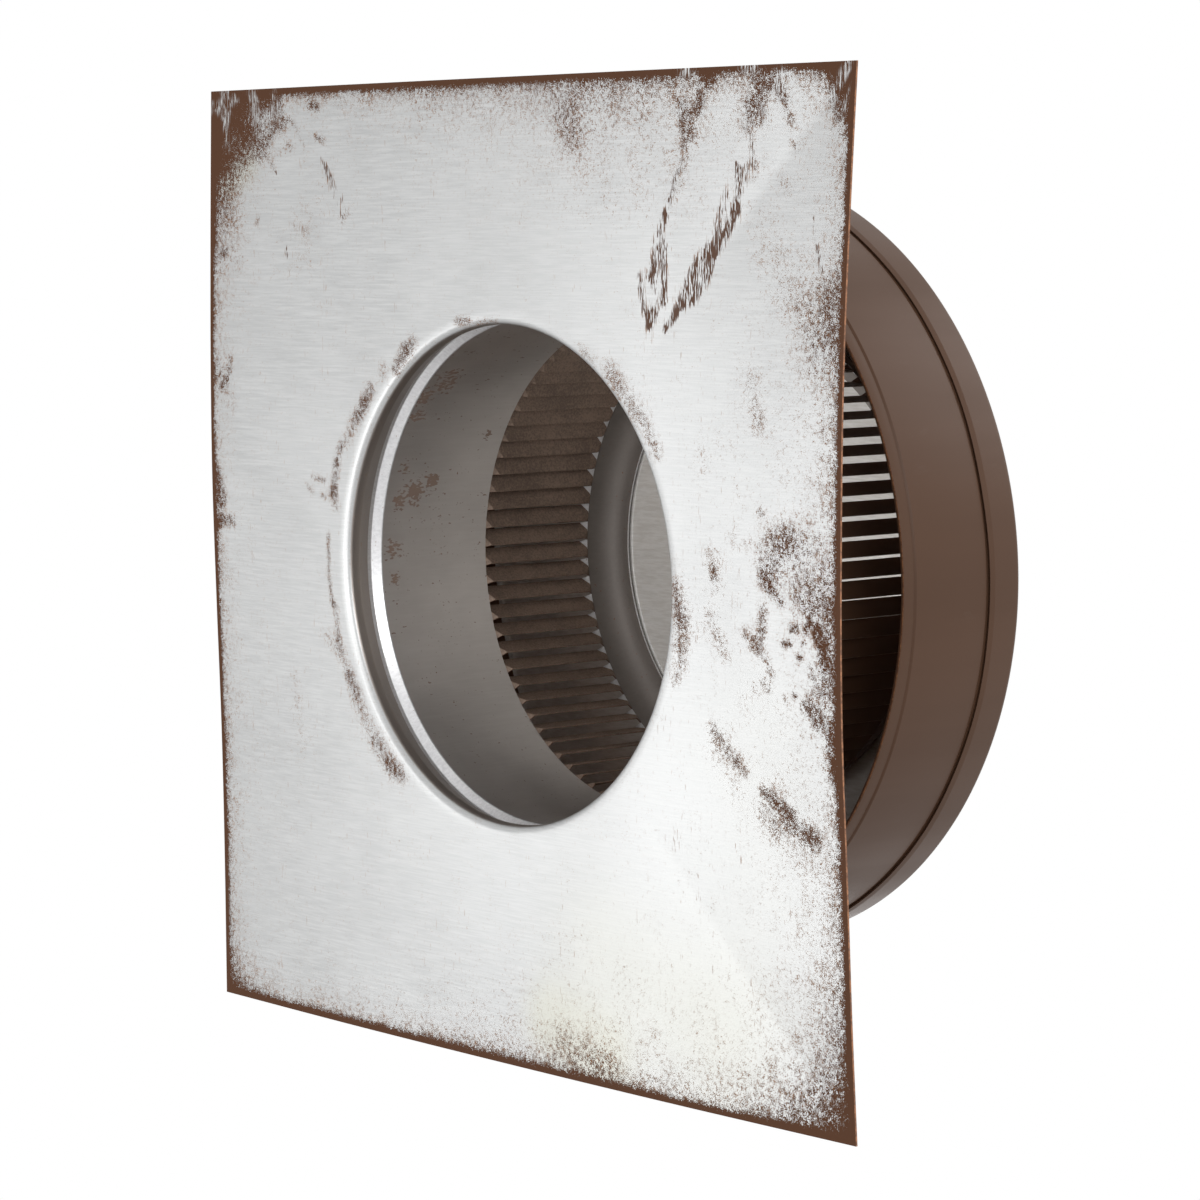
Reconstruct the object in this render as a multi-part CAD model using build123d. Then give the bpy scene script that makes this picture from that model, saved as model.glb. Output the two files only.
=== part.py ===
from build123d import *
import cmath
import math
import os

# Round roof vent on a square flashing: a louvred throat under a deep round cap, all thin sheet.
# Millimetres. Origin at the centre of the flashing's underside, +Z up the throat to the cap.

# Flashing: a square sheet with a collar drawn up round the opening
FLANGE_SIDE = 394.0
FLANGE_GAUGE = 0.8
COLLAR_INSET = 1.5
COLLAR_BEND = 3.2
COLLAR_NECK = 3.0
COLLAR_HEIGHT = 12.8
COLLAR_FLARE = 3.0

# Throat: a tube belled over the collar, with its top turned in to a shoulder
THROAT_RADIUS = 101.5
THROAT_GAUGE = 0.8
BELL_CLEARANCE = 0.25
BELL_SHOULDER = 3.6
BELL_OVER_COLLAR = 2.6
PLAIN_WALL = 56.4
TOP_SHOULDER = 11.0
TOP_LIP = 1.9

# Louvres: blades lanced from the throat's wall and twisted about their own upright axes
BLADE_COUNT = 80
BLADE_LENGTH = 58.0
BLADE_TWIST = 35.0
BLADE_SLIT = 0.12
BLADE_GAUGE = 0.6
TWIST_RUN = 5.6
BLADE_ROOT = 0.5
FIRST_BLADE_AT = 2.85
WALL_ABOVE_BLADES = 1.0

# Cap: a skirt hung round the louvres and a domed lid lapped over it
CAP_GAUGE = 0.8
SKIRT_RADIUS = 158.75
CAP_DEPTH = 62.6
HEM_HEIGHT = 5.6
HEM_STEP = 0.7
HEM_FOLD_GAP = 0.1
SEAM_BELOW_CORNER = 16.5
CRIMP_HEIGHT = 2.6
CRIMP_DEPTH = 0.9
CRIMP_CLEARANCE = 0.1
GROOVE_LEAD = 1.4
LAP_CLEARANCE = 0.1
SKIRT_TOP_GAP = 1.2
DOME_RADIUS = 520.0
LID_CORNER_ROUND = 2.6
SEAT_CLEARANCE = 0.1

# Rounds and the dome are turned in short flats, which keeps the thin sheets light
ROUND_FLAT = 6.0
DOME_FLATS = 3

# Sizes that follow from the ones above
neck_radius = THROAT_RADIUS - COLLAR_INSET
collar_top_outside = neck_radius + COLLAR_FLARE + FLANGE_GAUGE
bell_radius = collar_top_outside + BELL_CLEARANCE
bell_top = COLLAR_HEIGHT + BELL_OVER_COLLAR
wall_bottom = bell_top + BELL_SHOULDER
blades_bottom = wall_bottom + PLAIN_WALL
blades_top = blades_bottom + BLADE_LENGTH
shoulder_bottom = blades_top + WALL_ABOVE_BLADES
throat_top = shoulder_bottom + TOP_SHOULDER
throat_lip_radius = THROAT_RADIUS - TOP_SHOULDER - TOP_LIP

lid_wall_inside = SKIRT_RADIUS + LAP_CLEARANCE
lid_radius = lid_wall_inside + CAP_GAUGE
dome_outside = DOME_RADIUS + CAP_GAUGE

# The lid sits on the throat: the flat of the dome above the shoulder clears its top edge
seat_radius = THROAT_RADIUS - TOP_SHOULDER
dome_step = math.asin(lid_wall_inside / DOME_RADIUS) / DOME_FLATS
seat_tilt = dome_step * (int(math.asin(seat_radius / DOME_RADIUS) / dome_step) + 0.5)
seat_drop = DOME_RADIUS * math.cos(dome_step / 2) - seat_radius * math.sin(seat_tilt) - SEAT_CLEARANCE
dome_centre_z = throat_top + THROAT_GAUGE - seat_drop / math.cos(seat_tilt)

lid_corner_z = dome_centre_z + math.sqrt(dome_outside ** 2 - lid_radius ** 2)
rim_z = lid_corner_z - CAP_DEPTH
seam_z = lid_corner_z - SEAM_BELOW_CORNER
skirt_top = lid_corner_z - LID_CORNER_ROUND - SKIRT_TOP_GAP


def revolved(outline):
    """Solid of revolution about the throat's axis from a closed outline of radius and height."""
    with BuildPart() as piece:
        with BuildSketch(Plane.XZ):
            with BuildLine():
                Polyline(*outline, close=True)
            make_face()
        revolve(axis=Axis.Z)
    return piece.part


def rounded(path, rounds):
    """Path of radius and height points with its corners turned to these radii in short flats."""
    points = [complex(*point) for point in path]
    turned = points[:1]
    for before, corner, after, radius in zip(points, points[1:], points[2:], rounds):
        heading = (corner - before) / abs(corner - before)
        turn = cmath.phase((after - corner) / heading)
        start = corner - heading * radius * math.tan(abs(turn) / 2)
        centre = start + heading * 1j * math.copysign(radius, turn)
        flats = math.ceil(radius * abs(turn) / ROUND_FLAT)
        for step in range(flats + 1):
            turned.append(centre + (start - centre) * cmath.exp(1j * turn * step / max(flats, 1)))
    return [(point.real, point.imag) for point in turned + points[-1:]]


def bent_ring(path, rounds, gauge):
    """Sheet of revolution: an inner-face path with rounded corners, thickened away from the axis."""
    with BuildPart() as piece:
        with BuildSketch(Plane.XZ):
            with BuildLine():
                inner = Polyline(*rounded(path, rounds))
                offset(inner, amount=gauge, side=Side.RIGHT, kind=Kind.INTERSECTION)
            make_face()
        revolve(axis=Axis.Z)
    return piece.part


def base_flange():
    bend_edge = neck_radius + COLLAR_BEND
    flare_start = COLLAR_BEND + COLLAR_NECK
    sheet = Box(FLANGE_SIDE, FLANGE_SIDE, FLANGE_GAUGE, align=(Align.CENTER, Align.CENTER, Align.MIN))
    sheet -= Cylinder(bend_edge + COLLAR_BEND, 3 * FLANGE_GAUGE)
    collar_path = [
        (bend_edge + COLLAR_BEND, 0),
        (neck_radius, 0),
        (neck_radius, flare_start),
        (neck_radius + COLLAR_FLARE, COLLAR_HEIGHT),
    ]
    collar = bent_ring(collar_path, [COLLAR_BEND, 0], FLANGE_GAUGE)
    return sheet + collar


def flat_sided_solid(polygons):
    """Closed solid whose faces are the given flat polygons."""
    return Solid(Shell([Face(Wire.make_polygon(corners)) for corners in polygons]))


def blade_corner(height, turn, side, face):
    """Corner of the blade at +X: side -1, 0 or 1 across it, face -1 inner or 1 outer."""
    half_width = math.pi * THROAT_RADIUS / BLADE_COUNT - BLADE_SLIT / 2
    angle = math.radians(turn)
    across = Vector(math.sin(angle), math.cos(angle), 0)
    outward = Vector(math.cos(angle), -math.sin(angle), 0)
    centre = Vector(THROAT_RADIUS + THROAT_GAUGE / 2, 0, height)
    return centre + across * (side * half_width) + outward * (face * BLADE_GAUGE / 2)


def blade_crease(height, face):
    """Point where the twisted flat of one face meets the untwisted end of the blade."""
    shift = -face * BLADE_GAUGE / 2 * math.tan(math.radians(BLADE_TWIST) / 2)
    return blade_corner(height, 0, 0, face) + Vector(0, shift, 0)


def blade():
    """Louvre blade at +X: a twisted flat, with two folded facets at each end where it leaves the wall."""
    inner, outer = -1, 1
    low_edge, high_edge = -1, 1
    ends = [
        (blades_bottom - BLADE_ROOT, blades_bottom, blades_bottom + TWIST_RUN),
        (blades_top + BLADE_ROOT, blades_top, blades_top - TWIST_RUN),
    ]
    polygons = []
    for root, end, flat in ends:
        polygons.append([
            blade_corner(root, 0, low_edge, inner), blade_corner(root, 0, high_edge, inner),
            blade_corner(root, 0, high_edge, outer), blade_corner(root, 0, low_edge, outer),
        ])
        for face in (inner, outer):
            crease = blade_crease(end, face)
            polygons.append([
                blade_corner(root, 0, low_edge, face), blade_corner(root, 0, high_edge, face),
                blade_corner(end, 0, high_edge, face), crease, blade_corner(end, 0, low_edge, face),
            ])
            for edge in (low_edge, high_edge):
                polygons.append([
                    crease, blade_corner(end, 0, edge, face), blade_corner(flat, BLADE_TWIST, edge, face),
                ])
        for edge in (low_edge, high_edge):
            end_inner, end_outer = (blade_corner(end, 0, edge, face) for face in (inner, outer))
            flat_inner, flat_outer = (blade_corner(flat, BLADE_TWIST, edge, face) for face in (inner, outer))
            root_inner, root_outer = (blade_corner(root, 0, edge, face) for face in (inner, outer))
            polygons.append([root_inner, root_outer, end_outer, end_inner])
            polygons.append([end_inner, end_outer, flat_outer])
            polygons.append([end_inner, flat_outer, flat_inner])
    (_, low_end, low_flat), (_, high_end, high_flat) = ends
    for face in (inner, outer):
        polygons.append([
            blade_crease(low_end, face),
            blade_corner(low_flat, BLADE_TWIST, high_edge, face),
            blade_corner(high_flat, BLADE_TWIST, high_edge, face),
            blade_crease(high_end, face),
            blade_corner(high_flat, BLADE_TWIST, low_edge, face),
            blade_corner(low_flat, BLADE_TWIST, low_edge, face),
        ])
    for edge in (low_edge, high_edge):
        polygons.append([
            blade_corner(height, BLADE_TWIST, edge, face)
            for height, face in ((low_flat, inner), (low_flat, outer), (high_flat, outer), (high_flat, inner))
        ])
    return flat_sided_solid(polygons)


def throat_tube():
    wall_path = [
        (bell_radius, FLANGE_GAUGE),
        (bell_radius, bell_top),
        (THROAT_RADIUS, wall_bottom),
        (THROAT_RADIUS, throat_top),
        (throat_lip_radius, throat_top),
    ]
    tube = bent_ring(wall_path, [0, 0, TOP_SHOULDER], THROAT_GAUGE)
    lanced_band = Cylinder(bell_radius, BLADE_LENGTH, align=(Align.CENTER, Align.CENTER, Align.MIN))
    tube -= Pos(0, 0, blades_bottom) * lanced_band
    first = blade()
    blades = [Rot(0, 0, FIRST_BLADE_AT + 360 * turn / BLADE_COUNT) * first for turn in range(BLADE_COUNT)]
    return tube + blades


def cap_skirt():
    hem_radius = SKIRT_RADIUS - HEM_STEP
    groove_radius = SKIRT_RADIUS - CRIMP_DEPTH - CRIMP_CLEARANCE
    hem_top = rim_z + HEM_HEIGHT
    outside = [
        (hem_radius, rim_z),
        (hem_radius, hem_top),
        (SKIRT_RADIUS, hem_top + HEM_STEP),
        (SKIRT_RADIUS, seam_z - GROOVE_LEAD),
        (groove_radius, seam_z - CRIMP_CLEARANCE),
        (SKIRT_RADIUS, seam_z + CRIMP_HEIGHT),
        (SKIRT_RADIUS, skirt_top),
    ]
    fold_inside = hem_radius - 2 * CAP_GAUGE - HEM_FOLD_GAP
    inside = [(radius - CAP_GAUGE, height) for radius, height in outside[2:]]
    hem = [(hem_radius - CAP_GAUGE, hem_top), (fold_inside, hem_top), (fold_inside, rim_z)]
    return revolved(outside + inside[::-1] + hem)


def dome_face(face_radius, edge):
    """Points of a dome face from the axis out to its edge, on the flats of the dome."""
    step = math.asin(edge / face_radius) / DOME_FLATS
    return [
        (face_radius * math.sin(step * flat), dome_centre_z + face_radius * math.cos(step * flat))
        for flat in range(DOME_FLATS + 1)
    ]


def cap_lid():
    crimp_top = seam_z + CRIMP_HEIGHT
    outside = dome_face(dome_outside, lid_radius) + [(lid_radius, crimp_top), (lid_radius - CRIMP_DEPTH, seam_z)]
    inside = dome_face(DOME_RADIUS, lid_wall_inside) + [
        (lid_wall_inside, crimp_top), (lid_wall_inside - CRIMP_DEPTH, seam_z)
    ]
    straight = [0] * (DOME_FLATS - 1)
    outside = rounded(outside, straight + [LID_CORNER_ROUND, 0])
    inside = rounded(inside, straight + [LID_CORNER_ROUND - CAP_GAUGE, 0])
    return revolved(outside + inside[::-1])


NODES = {
    "base_flange": base_flange,
    "throat_tube": throat_tube,
    "cap_skirt": cap_skirt,
    "cap_lid": cap_lid,
}

os.makedirs("parts", exist_ok=True)
for name, make in NODES.items():
    solid = make()
    export_step(solid, f"parts/{name}.step")
    print(name, round(solid.volume), solid.bounding_box())
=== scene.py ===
"""Round louvred roof vent on a square flashing, seen from below its open throat."""
import itertools
import math

import bmesh
import bpy
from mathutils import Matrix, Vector


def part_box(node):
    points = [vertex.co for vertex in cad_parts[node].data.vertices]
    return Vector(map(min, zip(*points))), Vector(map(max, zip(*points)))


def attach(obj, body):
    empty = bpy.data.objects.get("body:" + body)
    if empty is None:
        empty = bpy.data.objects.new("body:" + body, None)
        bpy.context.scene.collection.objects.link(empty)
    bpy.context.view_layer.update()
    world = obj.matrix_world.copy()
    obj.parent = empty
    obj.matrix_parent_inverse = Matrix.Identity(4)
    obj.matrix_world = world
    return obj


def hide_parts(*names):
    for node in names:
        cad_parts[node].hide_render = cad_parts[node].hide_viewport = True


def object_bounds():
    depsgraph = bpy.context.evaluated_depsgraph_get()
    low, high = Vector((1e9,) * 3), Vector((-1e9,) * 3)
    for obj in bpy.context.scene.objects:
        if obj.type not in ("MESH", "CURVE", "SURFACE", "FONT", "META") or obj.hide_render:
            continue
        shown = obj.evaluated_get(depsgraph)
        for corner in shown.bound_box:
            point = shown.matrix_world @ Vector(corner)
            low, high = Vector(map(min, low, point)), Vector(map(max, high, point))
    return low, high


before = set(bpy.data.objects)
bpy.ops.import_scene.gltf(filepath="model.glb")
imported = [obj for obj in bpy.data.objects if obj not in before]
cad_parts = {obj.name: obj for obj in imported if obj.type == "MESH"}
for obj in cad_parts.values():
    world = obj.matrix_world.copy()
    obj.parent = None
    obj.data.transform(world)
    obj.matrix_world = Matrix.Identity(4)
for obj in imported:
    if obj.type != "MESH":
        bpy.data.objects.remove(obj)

bl_info = {
    "name": "Roof Vent Maker",
    "version": (1, 0, 0),
    "blender": (4, 5, 0),
    "location": "3D View > Sidebar > Roof Vent",
    "description": "Makes a louvred round roof vent with its square flashing",
    "category": "Add Mesh",
}

CAD_LOW, CAD_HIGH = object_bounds()
MM = 0.001

GAUGE = 0.8     # thickness of every sheet, in millimetres

# How a face is finished; Geometry Nodes and the lathe sort faces into materials by these numbers
WALL, PAINT, BRIGHT, LOUVRE, RAW, UNDER, SHADE_DARKENED = range(7)
MATERIALS = ("throat_wall", "baked_paint", "bright_sheet", "louvre_inside", "raw_edge", "lid_underside",
             "shade_darkened_sheet")
UNDERSIDE, TOP_SIDE, CUT_EDGE, RIM = range(4)
FLASHING_MATERIALS = ("flashing_underside", "baked_paint", "raw_edge", "bright_sheet")


def length(name, description, millimetres):
    return bpy.props.FloatProperty(
        name=name, description=description, default=millimetres * MM, min=0, precision=5,
        unit="LENGTH", subtype="DISTANCE")


def colour(name, description, value):
    return bpy.props.FloatVectorProperty(
        name=name, description=description, default=value, size=3, min=0, max=1, subtype="COLOR")


def share(name, description, value):
    return bpy.props.FloatProperty(
        name=name, description=description, default=value, min=0, max=1, subtype="FACTOR")


def degrees(name, description, value):
    return bpy.props.FloatProperty(
        name=name, description=description, default=math.radians(value), unit="ROTATION", subtype="ANGLE")


class VentFlashing(bpy.types.PropertyGroup):
    side: length("Side", "Side of the square flashing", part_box("base_flange")[1].x * 2 / MM)
    gauge: length("Gauge", "Thickness of the flashing", GAUGE)
    neck_radius: length("Neck radius", "Inner radius of the collar's neck", 100)
    bend: length("Bend", "Inner radius of the bend into the collar", 3.2)
    neck: length("Neck", "Straight part of the collar", 3)
    roll: length("Roll", "Radius where the sheet rolls into the opening", 105)
    collar_height: length("Collar height", "Height of the collar's rim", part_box("base_flange")[1].z / MM)
    flare: length("Flare", "How far the collar opens towards its rim", 3)
    dip: length("Dip", "How far the sheet is drawn in at the opening", 0.3)


class VentThroat(bpy.types.PropertyGroup):
    radius: length("Radius", "Inner radius of the throat's wall", 101.5)
    gauge: length("Gauge", "Thickness of the wall", GAUGE)
    bell_bottom: length("Bell bottom", "Height of the bell's hidden lower edge", 2.6)
    bell_radius: length("Bell radius", "Inner radius of the bell over the collar", 104.05)
    bell_top: length("Bell top", "Height where the bell starts to close", 15.4)
    wall_bottom: length("Wall bottom", "Height where the plain wall starts", 19)
    top: length("Top", "Height of the shoulder's inner face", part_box("throat_tube")[1].z / MM - GAUGE)
    shoulder: length("Shoulder", "Radius of the turned-in shoulder", 11)
    lip_radius: length("Lip radius", "Radius of the shoulder's raw edge", 88.6)


class VentLouvres(bpy.types.PropertyGroup):
    count: bpy.props.IntProperty(name="Count", description="Blades round the throat", default=80, min=3)
    first: degrees("First blade", "Angle of the first blade from +X", 2.85)
    twist: degrees("Twist", "Turn of each blade about its own upright axis", 35)
    bottom: length("Bottom", "Height of the blades' lower ends", 75.4)
    top: length("Top", "Height of the blades' upper ends", 133.4)
    slit: length("Slit", "Cut between two blades before they are twisted", 0.12)
    gauge: length("Gauge", "Thickness of a blade", 0.6)
    run: length("Fold", "Length of the folds at a blade's upper end", 3)
    low_run: length("Lower fold", "Length of the folds at a blade's lower end", 2.2)


class VentCap(bpy.types.PropertyGroup):
    gauge: length("Gauge", "Thickness of the cap's sheet", GAUGE)
    skirt_radius: length("Skirt radius", "Outer radius of the skirt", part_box("cap_skirt")[1].x / MM)
    rim: length("Rim", "Height of the skirt's lower rim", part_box("cap_skirt")[0].z / MM)
    skirt_top: length("Skirt top", "Height of the skirt's hidden top edge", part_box("cap_skirt")[1].z / MM)
    hem: length("Hem", "Height of the hem", 5.6)
    hem_step: length("Hem step", "Step in at the hem", 0.7)
    seam: length("Seam", "Height of the lid's lower edge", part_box("cap_lid")[0].z / MM)
    lid_radius: length("Lid radius", "Outer radius of the lid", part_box("cap_lid")[1].x / MM)
    top: length("Top", "Height of the lid's middle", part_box("cap_lid")[1].z / MM)
    dome_radius: length("Dome radius", "Radius of the domed lid", 520.8)
    corner: length("Corner", "Round at the lid's corner", 2.8)
    waver: length("Waver", "How far the seam wanders", 0.7)


class VentFinish(bpy.types.PropertyGroup):
    paint: colour("Paint", "Baked brown paint", (0.112, 0.058, 0.034))
    overspray: colour("Overspray", "Brown spray on the bare sheet", (0.31, 0.16, 0.08))
    thick_spray: colour("Thick overspray", "Brown spray where it lies thick", (0.105, 0.05, 0.029))
    sheet: colour("Sheet", "Bare sheet metal", (0.45, 0.455, 0.455))
    wall: colour("Wall", "Dull sheet inside the throat", (0.56, 0.53, 0.51))
    louvre: colour("Louvre", "Inner face of the louvres", (0.275, 0.195, 0.148))
    copper: colour("Raw edge", "Cut edge tinted by the spray", (0.48, 0.22, 0.11))
    sheet_roughness: share("Sheet roughness", "Roughness of the bare sheet", 0.39)
    paint_roughness: share("Paint roughness", "Roughness of the brown paint", 0.36)


class VentStage(bpy.types.PropertyGroup):
    camera_place: bpy.props.FloatVectorProperty(
        name="Camera place", description="Where the camera stands",
        default=(0.142454, 1.204207, -0.99004), size=3, unit="LENGTH", subtype="TRANSLATION")
    camera_turn: bpy.props.FloatVectorProperty(
        name="Camera turn", description="How the camera is turned",
        default=tuple(math.radians(angle) for angle in (173.9704, -49.0756, 90.598)),
        size=3, unit="ROTATION", subtype="EULER")
    lens: bpy.props.FloatProperty(name="Lens", description="Focal length in mm", default=117.98, min=1)
    fill: share("Fill", "Plain light from all round", 0.45)
    floor_depth: length("Floor depth", "How far the floor lies below the opening", 4.1)


GROUPS = {
    "vent_flashing": VentFlashing, "vent_throat": VentThroat, "vent_louvres": VentLouvres,
    "vent_cap": VentCap, "vent_finish": VentFinish, "vent_stage": VentStage,
}


# Node trees

def set_inputs(tree, node, values):
    """Joins a node's inputs to other sockets, or sets them to plain values."""
    for name, value in values.items():
        if isinstance(value, bpy.types.NodeSocket):
            tree.links.new(value, node.inputs[name])
        else:
            node.inputs[name].default_value = value


def add(tree, kind, values=(), **settings):
    """New node with its settings and inputs."""
    node = tree.nodes.new(kind)
    for name, value in settings.items():
        setattr(node, name, value)
    set_inputs(tree, node, dict(values))
    return node


def maths(tree, operation, *values):
    return add(tree, "ShaderNodeMath", enumerate(values), operation=operation).outputs[0]


def times(tree, one, other):
    return maths(tree, "MULTIPLY", one, other)


def ramp(tree, value, low, high, to_low=0, to_high=1):
    """Smooth change between two levels as the value goes from low to high."""
    values = {"Value": value, "From Min": low, "From Max": high, "To Min": to_low, "To Max": to_high}
    return add(tree, "ShaderNodeMapRange", values, interpolation_type="SMOOTHSTEP").outputs[0]


def blend(tree, amount, one, other):
    """Mix of two colours, each of them a socket or plain levels."""
    one, other = (part if isinstance(part, bpy.types.NodeSocket) else (*part, 1) for part in (one, other))
    return add(tree, "ShaderNodeMix", {0: amount, 6: one, 7: other}, data_type="RGBA").outputs[2]


def darker(tone, amount):
    return tuple(amount * part for part in tone)


def grain(tree, scale, detail=3, roughness=0.6, stretch=(1, 1, 1), distortion=0):
    """Noise on the object's own coordinates, with features about 1/scale metres across."""
    place = add(tree, "ShaderNodeTexCoord").outputs["Object"]
    place = add(tree, "ShaderNodeMapping", {"Vector": place, "Scale": stretch}).outputs[0]
    values = {"Vector": place, "Scale": scale, "Detail": detail, "Roughness": roughness,
              "Distortion": distortion}
    return add(tree, "ShaderNodeTexNoise", values).outputs["Fac"]


def painted_on(tree, name):
    """Level that the mesh carries at each of its points."""
    return add(tree, "ShaderNodeAttribute", attribute_name=name).outputs["Fac"]


def relief(tree, height, distance, strength, under=None):
    """Bumps of a depth in metres, laid over those under them."""
    values = {"Height": height, "Distance": distance, "Strength": strength}
    if under is not None:
        values["Normal"] = under
    return add(tree, "ShaderNodeBump", values).outputs[0]


def blank_tree(owner):
    owner.use_nodes = True
    owner.node_tree.nodes.clear()
    return owner.node_tree


def material(name):
    """Tree and shader of a new material."""
    tree = blank_tree(bpy.data.materials.new(name))
    shader = add(tree, "ShaderNodeBsdfPrincipled")
    add(tree, "ShaderNodeOutputMaterial", {0: shader.outputs[0]})
    return tree, shader


def dress(tree, shader, base, metallic, roughness, depth, strength=0.4):
    """Sets the shader; roughness holds a pattern, its low and high, and how rough it is there."""
    set_inputs(tree, shader, {
        "Base Color": base, "Metallic": metallic, "Roughness": ramp(tree, *roughness),
        "Normal": relief(tree, roughness[0], depth, strength)})


# Specks of spray: weight of the density, the noises (times coarser than a speck, detail, weight), and
# the levels where a speck starts and is full
SPECK_DENSITY = 0.4
SPECK_NOISES = ((1, 1, 1), (5, 2, 0.55), (30, 2, 0.25))
SPECK_START, SPECK_FULL = 1.15, 1.22


def speckle(tree, density, scale, stretch=(1, 1, 1)):
    """Fine specks that close up into solid spray as the density goes from 0 to 1."""
    level = times(tree, density, SPECK_DENSITY)
    for coarser, detail, weight in SPECK_NOISES:
        noise = grain(tree, scale / coarser, detail, 0.5, stretch)
        level = maths(tree, "ADD", level, times(tree, noise, weight))
    return ramp(tree, level, SPECK_START, SPECK_FULL)


# Tones that only one finish uses
BRUSHED = (0.74, 0.74, 0.73)
YELLOWED = (0.46, 0.455, 0.37)
COLLAR_SHEET = (0.32, 0.285, 0.262)
BRIGHT_WALL = (0.66, 0.64, 0.62)
WALL_SPRAY = (0.17, 0.088, 0.05)
# Painted shade: the shoulder's sheet, darker than the wall for the shade under the lid
SHADE_DARKENED_SHEET, SHADE_DARKENED_BRUSHED = (0.19, 0.167, 0.15), (0.25, 0.222, 0.2)
# Painted highlight: lighter sheet for the bell, the fold facets and the rims
HIGHLIGHT_SHEET, HIGHLIGHT_SHEET_DARK, HIGHLIGHT_SHEET_SPECKS = (0.8, 0.8, 0.81), (0.68, 0.68, 0.69), (0.34, 0.24, 0.18)
LID_LIGHT, LID_DARK = (0.88, 0.87, 0.84), (0.74, 0.72, 0.68)
DUST = (0.2, 0.15, 0.12)
TINTED_EDGE = (0.2, 0.1, 0.06)


def flashing_underside(finish):
    """Bare brushed sheet with brown overspray, smears of it and pale scratches."""
    tree, shader = material("flashing_underside")
    brushing = grain(tree, 1500, 3, 0.7, (1, 0.035, 1))
    cloud = ramp(tree, grain(tree, 14, 3, 0.55), 0.35, 0.7)
    sheet = blend(tree, cloud, finish.sheet, darker(finish.sheet, 0.93))
    sheet = blend(tree, ramp(tree, brushing, 0.3, 0.75, 0, 0.22), sheet, BRUSHED)
    sheet = blend(tree, ramp(tree, painted_on(tree, "tint"), 0, 0.7, 0, 0.5), sheet, YELLOWED)
    sheet = blend(tree, painted_on(tree, "collar"), sheet, COLLAR_SHEET)
    density = painted_on(tree, "spray")
    spray = times(tree, speckle(tree, density, 2700), ramp(tree, density, 0, 0.9, 0.55, 1))
    streaky = ramp(tree, painted_on(tree, "smear"), 0, 0.65, 0, 0.86)
    smear = speckle(tree, streaky, 2000, (0.12, 1, 1))
    smear = times(tree, smear, ramp(tree, streaky, 0, 0.9, 0.45, 0.95))
    scratches = grain(tree, 1500, 3, 0.6, (0.1, 1, 1), 0.6)
    scraped = times(tree, ramp(tree, painted_on(tree, "scrape"), 0.1, 0.6),
                    ramp(tree, scratches, 0.49, 0.6))
    brown = maths(tree, "MAXIMUM", spray, smear)
    brown = times(tree, brown, maths(tree, "SUBTRACT", 1, scraped))
    thick = maths(tree, "MAXIMUM", density, times(tree, streaky, 1.2))
    thick = ramp(tree, maths(tree, "ADD", thick, grain(tree, 500)), 0.75, 1.35)
    spray_tone = blend(tree, thick, finish.overspray, finish.thick_spray)
    middle = finish.sheet_roughness
    rough = ramp(tree, brushing, 0.2, 0.8, middle - 0.05, middle + 0.05)
    set_inputs(tree, shader, {
        "Base Color": blend(tree, brown, sheet, spray_tone),
        "Metallic": ramp(tree, brown, 0, 1, 0.88, 0),
        "Roughness": maths(tree, "ADD", rough, times(tree, brown, 0.3)),
        "Normal": relief(tree, brown, 0.08 * MM, 0.5, relief(tree, brushing, 0.03 * MM, 0.4)),
        "Specular IOR Level": ramp(tree, brown, 0, 1, 0.5, 0.04)})


def patches(tree, spots):
    """Round patches, each given in millimetres by its place and reach."""
    place = add(tree, "ShaderNodeTexCoord").outputs["Object"]
    total = None
    for *spot, reach in spots:
        ends = {0: place, 1: Vector(spot) * MM}
        away = add(tree, "ShaderNodeVectorMath", ends, operation="DISTANCE").outputs["Value"]
        amount = ramp(tree, away, 0, reach * MM, 1, 0)
        total = amount if total is None else maths(tree, "MAXIMUM", total, amount)
    return total


def satin(name, tone, lighter, metallic, rough, spots=()):
    """Satin sheet with brushing, flecks and any brown patches."""
    tree, shader = material(name)
    brushing = grain(tree, 700, 3, 0.65, (1, 1, 0.08))
    cloud = ramp(tree, grain(tree, 22), 0.35, 0.7)
    sheet = blend(tree, cloud, tone, darker(tone, 0.86))
    sheet = blend(tree, ramp(tree, brushing, 0.35, 0.75, 0, 0.25), sheet, lighter)
    flecks = ramp(tree, grain(tree, 760, 2, 0.5), 0.7, 0.76)
    if spots:
        brown = times(tree, speckle(tree, patches(tree, spots), 900, (1, 1, 0.5)), 0.8)
        flecks = maths(tree, "MAXIMUM", brown, flecks)
    metal = ramp(tree, flecks, 0, 1, metallic, 0.1)
    base = blend(tree, flecks, sheet, WALL_SPRAY)
    dress(tree, shader, base, metal, (brushing, 0.2, 0.8, rough, rough + 0.1), 0.04 * MM)


def throat_wall(finish):
    """The plain wall below the louvres, with brown patches near its rim."""
    satin(MATERIALS[WALL], finish.wall, BRIGHT_WALL, 0.85, 0.3, WALL_PATCHES)


def shade_darkened_sheet(finish):
    """The shoulder above the louvres: the tube's sheet coloured darker as painted shade under the lid."""
    satin(MATERIALS[SHADE_DARKENED], SHADE_DARKENED_SHEET, SHADE_DARKENED_BRUSHED, 0.3, 0.5)


def bright_sheet(finish):
    """Bare metal on the bell, the blades' upper fold facets and the rims, lighter than the rest of the
    sheet as a painted highlight; the metal also mirrors real light.
    """
    tree, shader = material(MATERIALS[BRIGHT])
    brushing = grain(tree, 800, 3, 0.65, (1, 1, 0.3))
    base = blend(tree, ramp(tree, brushing, 0.3, 0.7), HIGHLIGHT_SHEET, HIGHLIGHT_SHEET_DARK)
    specks = ramp(tree, grain(tree, 900), 0.68, 0.73)
    base = blend(tree, specks, base, HIGHLIGHT_SHEET_SPECKS)
    dress(tree, shader, base, 0.85, (brushing, 0.2, 0.8, 0.34, 0.44), 0.04 * MM)


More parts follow.
